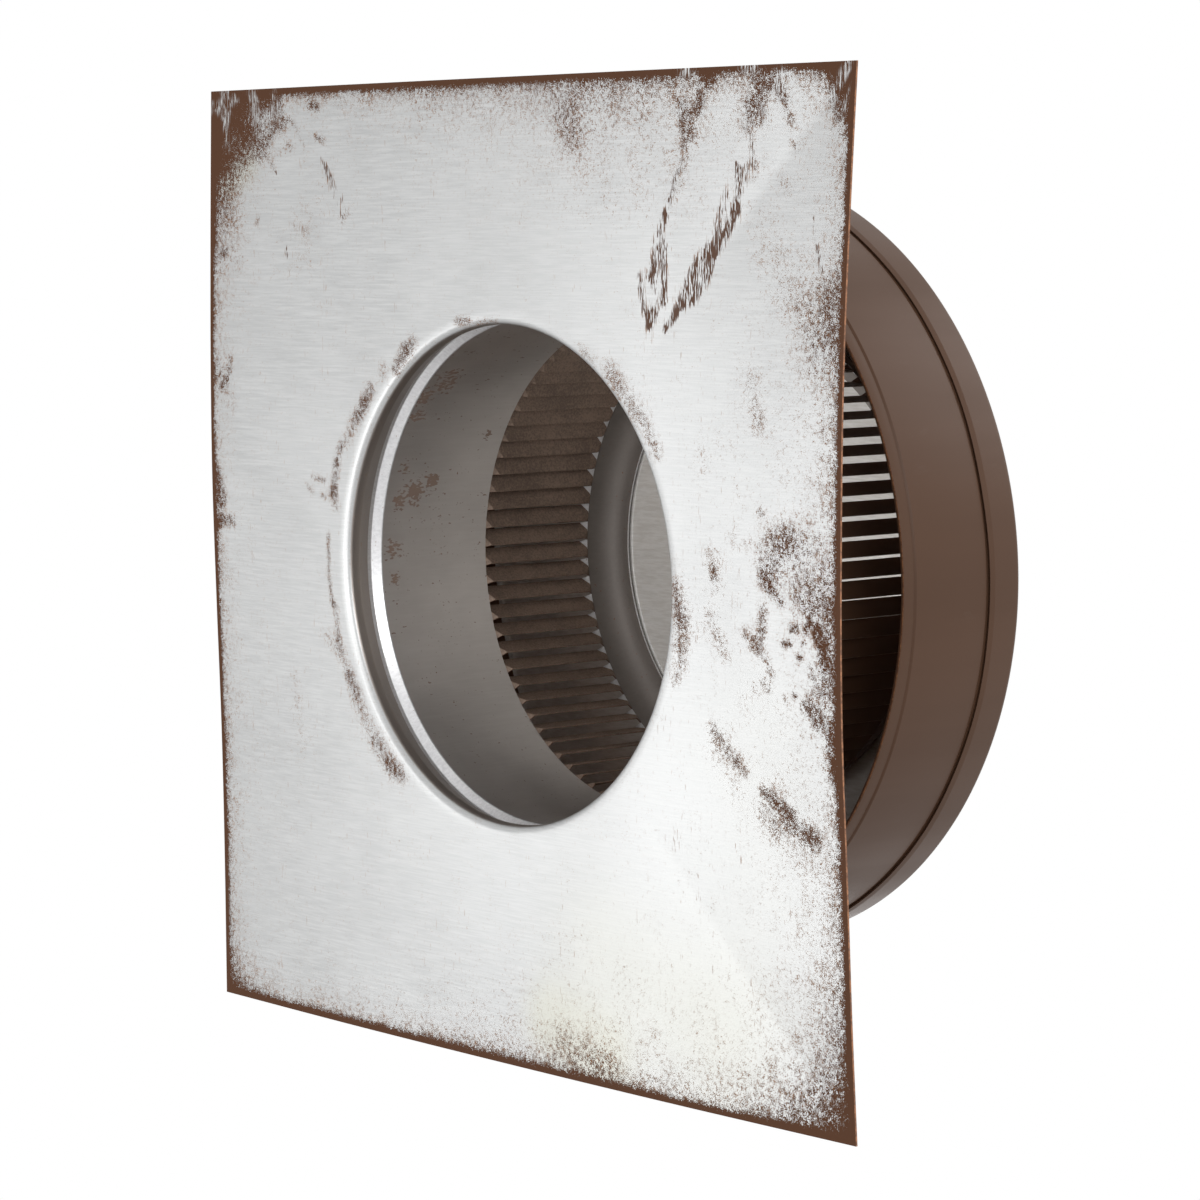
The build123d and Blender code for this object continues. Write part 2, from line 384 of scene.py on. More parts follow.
def lid_underside(finish):
    """Clean satin sheet that mirrors the light falling in through the louvres."""
    tree, shader = material(MATERIALS[UNDER])
    brushing = grain(tree, 900, 3, 0.65, (1, 0.05, 1))
    base = blend(tree, ramp(tree, brushing, 0.3, 0.7), LID_LIGHT, LID_DARK)
    dress(tree, shader, base, 0.2, (brushing, 0.2, 0.8, 0.09, 0.14), 0.03 * MM)


def louvre_inside(finish):
    """Inner face of the louvres: grey sheet dulled by fine brown overspray."""
    tree, shader = material(MATERIALS[LOUVRE])
    fine = grain(tree, 1100, 4, 0.7)
    broad = grain(tree, 45)
    level = maths(tree, "ADD", times(tree, fine, 0.65), times(tree, broad, 0.35))
    base = blend(tree, ramp(tree, level, 0.38, 0.62), finish.louvre, darker(finish.louvre, 0.62))
    dress(tree, shader, base, 0.4, (fine, 0.3, 0.7, 0.42, 0.58), 0.05 * MM, 0.5)


def baked_paint(finish):
    """Baked paint: nearly even, with a slight ripple and faint upright streaks."""
    tree, shader = material(MATERIALS[PAINT])
    ripple = grain(tree, 420, 2, 0.5)
    streaks = grain(tree, 30, 3, 0.6, (1, 1, 0.12))
    base = blend(tree, ramp(tree, streaks, 0.3, 0.7), finish.paint, darker(finish.paint, 0.9))
    smooth = finish.paint_roughness
    dust = ramp(tree, grain(tree, 60, 5, 0.75, (1, 1, 0.5)), 0.6, 0.8, 0, 0.14)
    set_inputs(tree, shader, {
        "Base Color": blend(tree, dust, base, DUST), "Metallic": 0, "Specular IOR Level": 0.22,
        "Roughness": ramp(tree, streaks, 0.25, 0.75, smooth, smooth + 0.08),
        "Normal": relief(tree, ripple, 0.03 * MM, 0.4)})


def raw_edge(finish):
    """Cut edge of the sheet, tinted by the spray."""
    tree, shader = material(MATERIALS[RAW])
    fine = grain(tree, 500, 3, 0.7)
    base = blend(tree, ramp(tree, fine, 0.35, 0.65), finish.copper, TINTED_EDGE)
    dress(tree, shader, base, 0.4, (fine, 0.3, 0.7, 0.35, 0.5), 0.05 * MM, 0.5)


def finishes():
    """Every finish by its name, made once."""
    makers = (throat_wall, shade_darkened_sheet, baked_paint, bright_sheet, louvre_inside, raw_edge, lid_underside,
              flashing_underside)
    for make in makers:
        if make.__name__ not in bpy.data.materials:
            make(bpy.context.scene.vent_finish)
    return bpy.data.materials


# Shapes

def curve_through(controls):
    """Smooth function through (place, value) controls in rising order of place."""
    def value(at):
        at = min(max(at, controls[0][0]), controls[-1][0])
        index = max(i for i, (place, _) in enumerate(controls[:-1]) if place <= at)
        (x0, y0), (x1, y1) = controls[index], controls[index + 1]
        before = controls[max(index - 1, 0)]
        after = controls[min(index + 2, len(controls) - 1)]
        slope0 = (y1 - before[1]) / (x1 - before[0])
        slope1 = (after[1] - y0) / (after[0] - x0)
        t, run = (at - x0) / (x1 - x0), x1 - x0
        return ((2 * t**3 - 3 * t**2 + 1) * y0 + (t**3 - 2 * t**2 + t) * run * slope0
                + (3 * t**2 - 2 * t**3) * y1 + (t**3 - t**2) * run * slope1)
    return value


def rounded(path, rounds, step=math.radians(12)):
    """Path of radius and height points with each inner corner turned to its own radius."""
    points = [complex(*point) for point in path]
    turned = [points[0]]
    for before, corner, after, radius in zip(points, points[1:], points[2:], rounds):
        heading = (corner - before) / abs(corner - before)
        leaving = (after - corner) / abs(after - corner)
        turn = math.atan2((leaving / heading).imag, (leaving / heading).real)
        start = corner - heading * radius * math.tan(abs(turn) / 2)
        centre = start + heading * 1j * math.copysign(radius, turn)
        parts = max(2, math.ceil(abs(turn) / step)) if radius else 0
        for part in range(parts + 1):
            bend = turn * part / max(parts, 1)
            turned.append(centre + (start - centre) * complex(math.cos(bend), math.sin(bend)))
    return [(point.real, point.imag) for point in turned + [points[-1]]]


def thickened(path, gauge):
    """The path moved to its right by the gauge, with its corners kept parallel."""
    points = [complex(*point) for point in path]
    moved = []
    for index, point in enumerate(points):
        into = point - points[max(index - 1, 0)] or points[1] - points[0]
        out = points[min(index + 1, len(points) - 1)] - point or into
        into, out = into / abs(into), out / abs(out)
        bisector = -1j * (into + out) / abs(into + out)
        square = (bisector * (-1j * into).conjugate()).real
        moved.append(point + bisector * gauge / max(square, 0.5))
    return [(point.real, point.imag) for point in moved]


def new_piece(name, mesh_source, materials, smooth_angle=35):
    """Object from a bmesh, shaded smooth below the given angle."""
    mesh = bpy.data.meshes.new(name)
    mesh_source.to_mesh(mesh)
    mesh_source.free()
    for name_of in materials:
        mesh.materials.append(finishes()[name_of])
    mesh.shade_smooth()
    mesh.set_sharp_from_angle(angle=math.radians(smooth_angle))
    piece = bpy.data.objects.new(name, mesh)
    bpy.context.scene.collection.objects.link(piece)
    return piece


def settle(piece, node):
    """The finished piece stands for its CAD node."""
    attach(piece, "root")
    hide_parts(node)


def lathe(shape, outline, sides, segments, closed=True, bend=None):
    """Turns an outline of radius and height round Z into the bmesh; sides gives each side's finish."""
    finish = shape.faces.layers.int.get("finish") or shape.faces.layers.int.new("finish")
    rings = []
    for turn in range(segments):
        angle = math.tau * turn / segments
        path = [bend(*point, angle) for point in outline] if bend else outline
        rings.append([shape.verts.new((radius * math.cos(angle), radius * math.sin(angle), height))
                      for radius, height in path])
    count = len(outline)
    for turn in range(segments):
        near, far = rings[turn], rings[(turn + 1) % segments]
        for side in range(count if closed else count - 1):
            after = (side + 1) % count
            face = shape.faces.new((near[side], near[after], far[after], far[side]))
            face[finish] = face.material_index = sides[side]


def tidy_shell(shape):
    bmesh.ops.remove_doubles(shape, verts=shape.verts, dist=1e-7)
    bmesh.ops.recalc_face_normals(shape, faces=shape.faces)


def walled(path, gauge, inner_sides, end_sides):
    """Closed outline of a thin wall from its inner path, and each side's finish, painted outside."""
    sides = inner_sides + [end_sides[1]] + [PAINT] * (len(path) - 1) + [end_sides[0]]
    return path + thickened(path, gauge)[::-1], sides


def blade(throat, louvres):
    """One louvre at +X, lanced from the wall: a twisted flat with two folds at each end."""
    half = math.pi * throat.radius / louvres.count - louvres.slit / 2
    middle = throat.radius + throat.gauge / 2
    thin = louvres.gauge / 2
    twist = louvres.twist
    root = 0.5 * MM
    edge_bevel = 0.12 * MM
    # At the upper end one inner fold facet takes the lighter sheet, a painted highlight
    ends = ((louvres.bottom - root, louvres.bottom, louvres.bottom + louvres.low_run, -1, LOUVRE),
            (louvres.top + root, louvres.top, louvres.top - louvres.run, 1, BRIGHT))
    shape = bmesh.new()
    finish = shape.faces.layers.int.new("finish")

    def corner(height, turn, side, face):
        x = middle + side * half * math.sin(turn) + face * thin * math.cos(turn)
        y = side * half * math.cos(turn) - face * thin * math.sin(turn)
        return Vector((x, y, height))

    def crease(height, face):
        """Middle of the fold between a blade's end and its twisted flat."""
        return corner(height, 0, 0, face) + Vector((0, -face * thin * math.tan(twist / 2), 0))

    def panel(points, kind):
        shape.faces.new([shape.verts.new(point) for point in points])[finish] = kind

    for low, end, flat, bright_side, bright in ends:
        for face in (-1, 1):
            fold = crease(end, face)
            panel([corner(low, 0, -1, face), corner(low, 0, 1, face), corner(end, 0, 1, face), fold,
                   corner(end, 0, -1, face)], WALL if face < 0 else PAINT)
            for side in (-1, 1):
                plain = LOUVRE if face < 0 else PAINT
                kind = bright if face < 0 and side == bright_side else plain
                panel([fold, corner(end, 0, side, face), corner(flat, twist, side, face)], kind)
        for side in (-1, 1):
            inner_end, outer_end = corner(end, 0, side, -1), corner(end, 0, side, 1)
            panel([corner(low, 0, side, -1), corner(low, 0, side, 1), outer_end, inner_end], PAINT)
            panel([inner_end, outer_end, corner(flat, twist, side, 1)], PAINT)
            panel([inner_end, corner(flat, twist, side, 1), corner(flat, twist, side, -1)], PAINT)
        panel([corner(low, 0, side, face) for side, face in ((-1, -1), (1, -1), (1, 1), (-1, 1))], PAINT)
    (low_end, low_flat), (high_end, high_flat) = (end[1:3] for end in ends)
    for face, kind in ((-1, LOUVRE), (1, PAINT)):
        panel([crease(low_end, face), corner(low_flat, twist, 1, face), corner(high_flat, twist, 1, face),
               crease(high_end, face), corner(high_flat, twist, -1, face),
               corner(low_flat, twist, -1, face)], kind)
    for side in (-1, 1):
        panel([corner(low_flat, twist, side, -1), corner(low_flat, twist, side, 1),
               corner(high_flat, twist, side, 1), corner(high_flat, twist, side, -1)], LOUVRE)
    tidy_shell(shape)
    bmesh.ops.bevel(
        shape, geom=shape.edges[:], offset=edge_bevel, segments=1, affect="EDGES", clamp_overlap=True)
    bmesh.ops.recalc_face_normals(shape, faces=shape.faces)
    return new_piece("louvre_pattern", shape, [], 25)


def louvre_tree():
    """Geometry Nodes: sets the blade round the wall, then sorts every face into its finish."""
    tree = bpy.data.node_groups.new("louvre_ring", "GeometryNodeTree")
    sockets = (
        ("Wall", "INPUT", "NodeSocketGeometry"), ("Blade", "INPUT", "NodeSocketObject"),
        ("Blade count", "INPUT", "NodeSocketInt"), ("First blade", "INPUT", "NodeSocketFloat"),
        ("Throat", "OUTPUT", "NodeSocketGeometry"),
    )
    for name, way, kind in sockets:
        tree.interface.new_socket(name=name, in_out=way, socket_type=kind)
    given = add(tree, "NodeGroupInput").outputs
    index = add(tree, "GeometryNodeInputIndex").outputs[0]
    pitch = maths(tree, "DIVIDE", math.tau, given["Blade count"])
    turn = maths(tree, "ADD", given["First blade"], times(tree, pitch, index))
    points = add(tree, "GeometryNodePoints", {"Count": given["Blade count"]}).outputs[0]
    rotation = add(tree, "ShaderNodeCombineXYZ", {"Z": turn}).outputs[0]
    source = add(tree, "GeometryNodeObjectInfo", {"Object": given["Blade"]}).outputs["Geometry"]
    ring = add(tree, "GeometryNodeInstanceOnPoints",
               {"Points": points, "Instance": source, "Rotation": rotation}).outputs[0]
    joined = add(tree, "GeometryNodeJoinGeometry")
    tree.links.new(ring, joined.inputs[0])
    tree.links.new(given["Wall"], joined.inputs[0])
    shown = add(tree, "GeometryNodeRealizeInstances", {"Geometry": joined.outputs[0]}).outputs[0]
    finish = add(tree, "GeometryNodeInputNamedAttribute", {"Name": "finish"}, data_type="INT").outputs[0]
    for number, name in enumerate(MATERIALS):
        sides = {2: finish, 3: number}
        chosen = add(tree, "FunctionNodeCompare", sides, data_type="INT", operation="EQUAL").outputs[0]
        values = {"Geometry": shown, "Selection": chosen, "Material": finishes()[name]}
        shown = add(tree, "GeometryNodeSetMaterial", values).outputs[0]
    tree.links.new(shown, add(tree, "NodeGroupOutput").inputs[0])
    return tree


def ringed(wall, pattern, louvres):
    """The wall with its ring of blades as one plain mesh."""
    tree = louvre_tree()
    modifier = wall.modifiers.new("louvres", "NODES")
    modifier.node_group = tree
    values = {"Blade": pattern, "Blade count": louvres.count, "First blade": louvres.first}
    for item in tree.interface.items_tree:
        if item.name in values:
            modifier[item.identifier] = values[item.name]
    bpy.context.view_layer.update()
    evaluated = wall.evaluated_get(bpy.context.evaluated_depsgraph_get())
    mesh = bpy.data.meshes.new_from_object(evaluated)
    wall.modifiers.remove(modifier)
    wall.data = mesh
    bpy.data.objects.remove(pattern)
    return wall


# Overspray along the flashing's edges, in millimetres, as rows of (place along the edge, width of
# the solid band, strength of the specks beyond it, their reach)
EDGE_SPRAY = {
    "left": (
        (-197, 3.5, 0.95, 16), (-120, 3.5, 1, 13), (-60, 2.8, 0.95, 12), (40, 3, 0.9, 12),
        (70, 2.5, 0.75, 11), (110, 3, 0.9, 16), (150, 5.5, 0.9, 16), (197, 8, 0.8, 14)),
    "right": (
        (-197, 4, 0.95, 28), (-110, 3, 0.9, 27), (-60, 4, 0.85, 22), (20, 3.5, 0.8, 22),
        (50, 2.5, 0.82, 27), (110, 2.5, 0.85, 26), (140, 2.5, 0.78, 14), (170, 3, 0.8, 12),
        (197, 6, 0.8, 14)),
    "top": (
        (-197, 4, 0.83, 10), (-140, 3, 0.92, 10), (-60, 3.4, 0.97, 14), (-20, 3, 0.9, 24),
        (20, 3, 0.9, 34), (60, 3, 0.97, 40), (110, 3, 0.94, 34), (130, 2.2, 0.87, 24),
        (165, 2, 0.83, 12), (197, 4, 0.89, 12)),
    "bottom": (
        (-197, 3.5, 0.95, 12), (-150, 3.5, 0.95, 10), (-60, 3.5, 1, 11), (-10, 3.2, 0.92, 18),
        (45, 3.5, 0.95, 24), (80, 3, 0.8, 26), (110, 3, 0.78, 24), (150, 3.2, 0.8, 28),
        (197, 4, 0.85, 32)),
}

# Brown patches on the throat's wall, in millimetres: x, y, z and reach
WALL_PATCHES = (
    (74, -69, 29, 12), (68, -75, 23, 10), (61, -81, 23, 8), (38, -94, 26, 5), (27, -98, 34, 10),
    (31, -97, 43, 7), (23, -99, 27, 7), (3, -101, 25, 7), (-9, -101, 26, 5), (50, -88, 66, 5),
)

# Strokes on the flashing's underside, in millimetres: x and y of each point, width, strength. Seen
# from below, x is up and y is to the right.
SPRAY = (
    (198, -198, 188, -184, 180, -176, 17, 1.6), (192, -192, 170, -190, 12, 1.5),
    (198, -172, 188, -170, 180, -168, 9, 1.3), (196, -160, 189, -150, 5.5, 1),
    (182, -143, 180, -150, 173, -157, 169, -160, 3.8, 0.82), (164, -151, 168, -153, 2, 0.6),
    (174, -140, 171, -137, 2, 0.65), (169, -146, 172, -141, 1.6, 0.5),
    (184, -139, 181, -134, 172, -128, 1.2, 0.52), (189, -123, 188, -119, 2.4, 0.62),
    (176, -120, 174, -114, 2, 0.82), (142, -102, 144, -97, 2.4, 0.6), (140, -163, 143, -161, 1.4, 0.66),
    (133, -170, 134, -168, 1.2, 0.6), (127, -188, 128, -186, 2, 0.6), (150, -186, 130, -180, 10, 0.2),
    (156, -175, 150, -180, 14, 0.18), (140, -126, 127, -130, 12, 0.22),
    (82, -182, 76, -183, 70, -188, 2, 0.62), (66, -182, 76, -190, 6, 0.26),
    (12, -194, 12, -182, 2.6, 0.62), (30, -194, 22, -190, 5, 0.5), (-55, -140, -84, -134, 5, 0.26),
    (190, 150, 183, 148, 178, 149, 4.5, 0.64), (182, 143, 174, 142, 3.5, 0.5),
    (186, 118, 181, 117, 2.4, 0.66), (180, 112, 172, 113, 3, 0.42), (184, 108, 168, 109, 2.4, 0.42),
    (193, 122, 196, 122, 3.2, 1), (190, 156, 186, 160, 3, 0.55), (183, 162, 175, 165, 2.6, 0.48),
    (168, 166, 166, 168, 1.8, 0.66), (164, 110, 150, 104, 3, 0.28), (156, 146, 160, 148, 1.4, 0.6),
    (155, 160, 152, 164, 3, 0.45), (196, 189, 180, 190, 5, 0.75), (180, 42, 172, 46, 9, 0.24),
    (140, 150, 118, 165, 12, 0.22), (114, 186, 98, 188, 8, 0.26), (108, 174, 90, 180, 8, 0.2),
    (34, 152, 33, 154, 2.2, 0.66), (26, 167, 17, 161, 12, 159, 6, 0.52), (20, 152, 8, 153, 3.2, 0.42),
    (12, 154, 5, 159, 1, 164, 2.4, 0.86), (26, 160, 20, 172, 7, 0.26), (22, 156, 8, 158, 6, 0.28),
    (16, 168, 2, 178, 9, 0.24), (4, 176, -2, 190, 7, 0.3), (24, 176, 10, 188, 8, 0.2),
    (-10, 188, -30, 192, 4, 0.2), (-30, 182, -42, 190, 5, 0.14), (-45, 192, -60, 193, 4, 0.35),
    (-72, 160, -88, 172, 8, 0.2), (11, 126, 8, 126, 2.2, 0.9), (17, 124, 4, 128, 4.5, 0.44),
    (-7, 124, -14, 127, 5, 0.5), (-18, 131, -21, 132, 3.5, 0.44),
    (-3, 154, -11, 153, -17, 151, 3.4, 0.82), (-12, 144, -15, 148, 3, 0.62),
    (-20, 155, -26, 159, 2.6, 0.58), (-29, 154, -31, 157, 2, 0.8), (-31, 148, -33, 150, 1.6, 0.42),
    (-8, 170, -8, 173, 1.8, 1.15), (-14, 166, -14, 169, 1.8, 1.15), (-18, 174, -18, 175, 1.6, 1),
    (-13, 176, -13, 177, 1.3, 0.85), (-8, 178, -3, 181, 1.5, 0.95), (-8, 184, -13, 187, -19, 189, 3, 1),
    (-32, 171, -33, 172, 1.3, 0.85), (-36, 178, -41, 184, 3.4, 0.8), (-34, 166, -35, 167, 1.2, 0.55),
    (-22, 182, -28, 186, 4, 0.3), (-49, 125, -54, 130, -59, 137, 3.6, 0.78),
    (-61, 139, -64, 143, 2.6, 0.62), (-56, 127, -68, 137, 6, 0.24),
    (-70, 153, -74, 161, -77, 168, 2.8, 0.84), (-78, 153, -84, 160, 6, 0.42),
    (-80, 168, -85, 180, 4, 0.62), (82, 147, 66, 152, 5, 0.36), (52, 122, 56, 128, 8, 0.22),
    (24, 135, 21, 144, 4, 0.26), (-180, 34, -188, 62, 9, 0.14),
    # round the opening
    (10, 104, -2, 107, 5, 0.28), (-12, 107, -30, 103, 5, 0.32), (-26, 109, -34, 104, 3, 0.45),
    (101, -26, 101, -19, 2.5, 1.03), (100, -13, 101, -3, 2.2, 0.85), (92, -55, 89, -59, 3.7, 1.03),
    (88, -59, 81, -66, 3.7, 1.29), (81, -74, 78, -75, 3.4, 0.57), (72, -83, 67, -87, 4, 1.18),
    (65, -88, 61, -91, 3.4, 1.29), (60, -93, 50, -100, 4, 0.75), (48, -104, 42, -106, 2.5, 1.08),
    (40, -107, 29, -109, 3.1, 1.29), (27, -109, 23, -108, 3.7, 0.79), (34, -124, 33, -115, 1.6, 0.85),
    (30, -127, 28, -124, 1.8, 0.71), (27, -117, 26, -115, 1.8, 0.71),
    (10, -113, -6, -113, -19, -111, 1.8, 0.9), (-19, -109, -33, -107, 2.3, 0.79),
    (-33, -114, -37, -108, 4.7, 0.44), (-37, -106, -48, -99, 3.7, 0.64), (-49, -100, -54, -96, 3.7, 0.98),
    (-58, -94, -73, -83, 5.3, 0.67), (-76, -80, -85, -70, 5.6, 0.79), (-83, -74, -87, -64, 3.7, 0.85),
    (83, 67, 75, 75, 69, 81, 5.6, 0.79), (65, 87, 53, 94, 4, 0.75), (91, 51, 87, 57, 3.1, 0.64),
    (2, 104, -8, 106, 4, 0.79), (-8, 109, -20, 108, 5.3, 0.64),
)
SMEARS = (
    (170, 111, 160, 107, 2.6, 0.42), (158, 105, 150, 102, 142, 99, 1.8, 0.72),
    (142, 98, 132, 94, 120, 92, 3, 0.62), (132, 98, 110, 98, 2, 0.86), (120, 84, 106, 87, 2.4, 0.55),
    (105, 91, 101, 90, 2.6, 0.9), (120, 91, 106, 94, 4, 0.4), (161, 137, 150, 138, 144, 136, 2, 0.74),
    (150, 131, 136, 126, 3.4, 0.5), (144, 137, 133, 130, 126, 122, 118, 114, 2.6, 0.88),
    (129, 122, 120, 114, 112, 110, 4.4, 0.8), (121, 122, 112, 114, 3.6, 0.72),
    (111, 109, 104, 103, 100, 99, 2.4, 0.92), (160, 141, 152, 143, 3, 0.4),
    (172, 144, 160, 146, 2.6, 0.46), (138, 104, 126, 104, 3, 0.2),
    (168, -117, 152, -107, 142, -101, 2, 0.46), (164, -112, 150, -101, 144, -98, 2, 0.4),
    (132, -142, 127, -141, 1.2, 0.66), (127, -141, 115, -138, 1.2, 0.36), (140, -138, 136, -124, 3, 0.3),
    (141, 178, 130, 181, 121, 184, 1.6, 0.66), (104, -111, 112, -113, 4, 0.22),
    (165, -150, 161, -148, 1.4, 0.72),
)
SCRAPES = (
    (196, -186, 186, -186, 3.4, 1), (190, -196, 190, -186, 2.6, 0.9), (190, -188, 172, -184, 2, 0.62),
    (194, -180, 193, -178, 2.2, 0.95), (197, -166, 184, -163, 178, -160, 2.6, 1.3),
    (184, -160, 188, -148, 2.6, 1.2), (196, -150, 190, -149, 1.6, 0.8),
    (196, 193, 189, 187, 168, 176, 1.3, 1), (196, 194, 184, 186, 164, 182, 1.2, 1),
    (186, 194, 176, 190, 164, 184, 1.2, 0.9), (184, 186, 160, 176, 2.6, 0.7),
    (182, 108, 179, 105, 1.3, 1), (196, 108, 196, 114, 2.4, 1), (196, 140, 196, 146, 2.6, 0.8),
    (192, 160, 178, 156, 4, 0.8), (178, 153, 160, 158, 5, 0.8),
)
TINTS = (
    (-176, 30, -184, 60, 16, 0.9), (166, -170, 158, -184, 9, 0.6), (-150, 60, -170, 120, 40, 0.3),
    (-60, 150, -150, 150, 50, 0.12),
)

# The strokes are sorted into square cells. A stroke fades over SOFTNESS times its width and ends at
# STROKE_END of that, within REACH widths; CROWDING holds back strokes that lie over each other.
CELL = 16
SOFTNESS, STROKE_END, REACH = 1.2, 1.7, 2.1
PEAK, FALL, CROWDING = 1.5, 1.8, 0.85


def sorted_marks(strokes):
    """The strokes that reach each cell of a coarse square grid."""
    cells = {}
    for *places, width, strength in strokes:
        axes = places[::2], places[1::2]
        stroke = [complex(x, y) for x, y in zip(*axes)], width, strength
        reach = REACH * width
        spans = [range(int((min(axis) - reach) // CELL), int((max(axis) + reach) // CELL) + 1)
                 for axis in axes]
        for cell in itertools.product(*spans):
            cells.setdefault(cell, []).append(stroke)
    return cells


def stroke_distance(here, points):
    """Distance of a place from the line through the given points."""
    best = math.inf
    for start, end in zip(points, points[1:]):
        run = end - start
        along = ((here - start) / run).real
        best = min(best, abs(here - start - min(max(along, 0), 1) * run))
    return best


def marked(x, y, cells):
    """Strength at a point of the strokes round it, which each fade out from their middle line."""
    total = 0
    for points, width, strength in cells.get((int(x // CELL), int(y // CELL)), ()):
        near = stroke_distance(complex(x, y), points) / (SOFTNESS * width)
        if near < STROKE_END:
            total += PEAK * strength * math.exp(-FALL * near * near)
    return total / (1 + CROWDING * total)


def between(table, place):
    """Values of a table of rows, each led by its place, at a place between two rows."""
    for low, high in zip(table, table[1:]):
        if place <= high[0]:
            part = max(place - low[0], 0) / (high[0] - low[0])
            return [a + (b - a) * part for a, b in zip(low[1:], high[1:])]
    return table[-1][1:]


HALF_SIDE = round(CAD_HIGH[0] / MM)
EDGE_DEPTH = 60     # how far in the spray of an edge reaches, in millimetres


def edge_marked(x, y):
    """Strength at a point of the spray along the four edges."""
    edges = (("left", HALF_SIDE + y, x), ("right", HALF_SIDE - y, x), ("top", HALF_SIDE - x, y),
             ("bottom", HALF_SIDE + x, y))
    total = 0
    for edge, depth, place in edges:
        if depth < EDGE_DEPTH:
            band, strength, reach = between(EDGE_SPRAY[edge], place)
            solid = 1.1 * math.exp(-(1.5 * depth / band) ** 2)
            fringe = 0.35 * math.exp(-depth / 4)
            specks = 0.68 * strength * math.exp(-depth / reach)
            total += solid + fringe + specks
    return total


# How far the four edges stand above the opening, in millimetres, along each edge from -1 to 1
EDGE_RISE = {
    "left": curve_through(((-1, 3.8), (-0.65, 3.8), (-0.39, 3.2), (-0.12, 1.7), (0.15, 0.5), (0.4, 0.6),
                           (0.7, 1.7), (1, 3.2))),
    "right": curve_through(((-1, 4), (-0.75, 1.3), (-0.5, -0.8), (-0.2, -3.5), (0.15, -3.7),
                            (0.45, -2.3), (0.75, 1.1), (1, 4.6))),
    "top": curve_through(((-1, 3.2), (-0.5, 0.8), (0, 0), (0.5, 0.8), (1, 4.6))),
    "bottom": curve_through(((-1, 3.8), (-0.5, 1), (0, 0.3), (0.5, 1.2), (1, 4))),
}


def edge_rise(x, y):
    """Rise of the edge in the direction of a point, in metres."""
    if abs(x) > abs(y):
        return EDGE_RISE["top" if x > 0 else "bottom"](y / abs(x)) * MM
    return EDGE_RISE["right" if y > 0 else "left"](x / abs(y)) * MM


EVEN, CROWDED = 0.7, 0.3    # the flat rings are partly even and partly crowd to the opening
RISE_POWER = 1.4            # how late the sheet rises on its way to the edge
FAINT_SPRAY = 0.05          # specks all over


def flashing_mesh(sizes, turns=600, rings=96, every=8):
    """The flashing: rings that shrink from the square to its roll, then the bend and the collar."""
    half = sizes.side / 2
    flat_edge = sizes.roll + 1.5 * MM
    straight_top = sizes.bend + sizes.neck
    collar = rounded(
        [(flat_edge, 0), (sizes.roll, 0), (sizes.neck_radius, sizes.dip), (sizes.neck_radius, straight_top),
         (sizes.neck_radius + sizes.flare, sizes.collar_height)], [20 * MM, sizes.bend, 2 * MM])
    outer = thickened(collar, sizes.gauge)
    bend_end = next(i for i, (radius, _) in enumerate(collar) if radius < sizes.neck_radius + 0.3 * MM)
    strokes = {"spray": SPRAY, "smear": SMEARS, "scrape": SCRAPES, "tint": TINTS}
    maps = {name: sorted_marks(marks) for name, marks in strokes.items()}
    shape = bmesh.new()
    layers = {name: shape.verts.layers.float.new(name) for name in (*maps, "collar")}
    grid = []
    for turn in range(turns):
        angle = math.tau * turn / turns
        cos, sin = math.cos(angle), math.sin(angle)
        edge = half / max(abs(cos), abs(sin))
        rise = edge_rise(cos, sin)
        under = []
        for ring in range(rings):
            part = 1 - ring / rings
            part = EVEN * part + CROWDED * part * part
            under.append((flat_edge + (edge - flat_edge) * part, rise * part ** RISE_POWER))
        over = [(radius, height + sizes.gauge) for radius, height in under[::every]] + outer
        row = [shape.verts.new((radius * cos, radius * sin, height)) for radius, height in under + collar]
        for index, vert in enumerate(row):
            x, y = vert.co.x / MM, vert.co.y / MM
            inside = index >= rings + bend_end
            vert[layers["collar"]] = inside
            if not inside:
                for name, cells in maps.items():
                    vert[layers[name]] = marked(x, y, cells)
                vert[layers["spray"]] += edge_marked(x, y) + FAINT_SPRAY
        upper = [shape.verts.new((radius * cos, radius * sin, height)) for radius, height in over]
        grid.append((row, upper))

    def face(corners, finish):
        shape.faces.new(corners).material_index = finish

    for (near, near_over), (far, far_over) in zip(grid, grid[1:] + grid[:1]):
        for ring in range(len(near) - 1):
            face((near[ring], far[ring], far[ring + 1], near[ring + 1]), UNDERSIDE)
        for ring in range(len(near_over) - 1):
            face((near_over[ring + 1], far_over[ring + 1], far_over[ring], near_over[ring]), TOP_SIDE)
        face((near_over[0], far_over[0], far[0], near[0]), CUT_EDGE)
        # The collar's rim takes the lighter sheet, a painted highlight
        face((near[-1], far[-1], far_over[-1], near_over[-1]), RIM)
    bmesh.ops.recalc_face_normals(shape, faces=shape.faces)
    return shape


# Lamps: name, place, where it points, width in metres, watts
LAMPS = (
    ("lamp_mirrored", (-0.22, -0.6, -1.05), (-0.05, 0.05, 0), 0.8, 3.9),
    ("lamp_below", (0.1, 0.25, -1.6), (0, 0, 0.05), 1, 6.5),
    ("lamp_front", (0.6, 1.45, -0.52), (0, 0, 0.06), 0.8, 6.5),
    ("lamp_beside", (0.55, 1.75, -0.1), (0, 0, 0.08), 1.1, 4),
    ("lamp_above", (0.75, 0.55, 1.25), (0, 0, 0.1), 1, 4),
    ("lamp_above_far", (-0.6, -1.2, 1.3), (0, 0, 0.1), 1.2, 5),
)
FADE_START, FADE_END = 0.5, 2.2     # the floor fades into the white round it, in metres from the middle


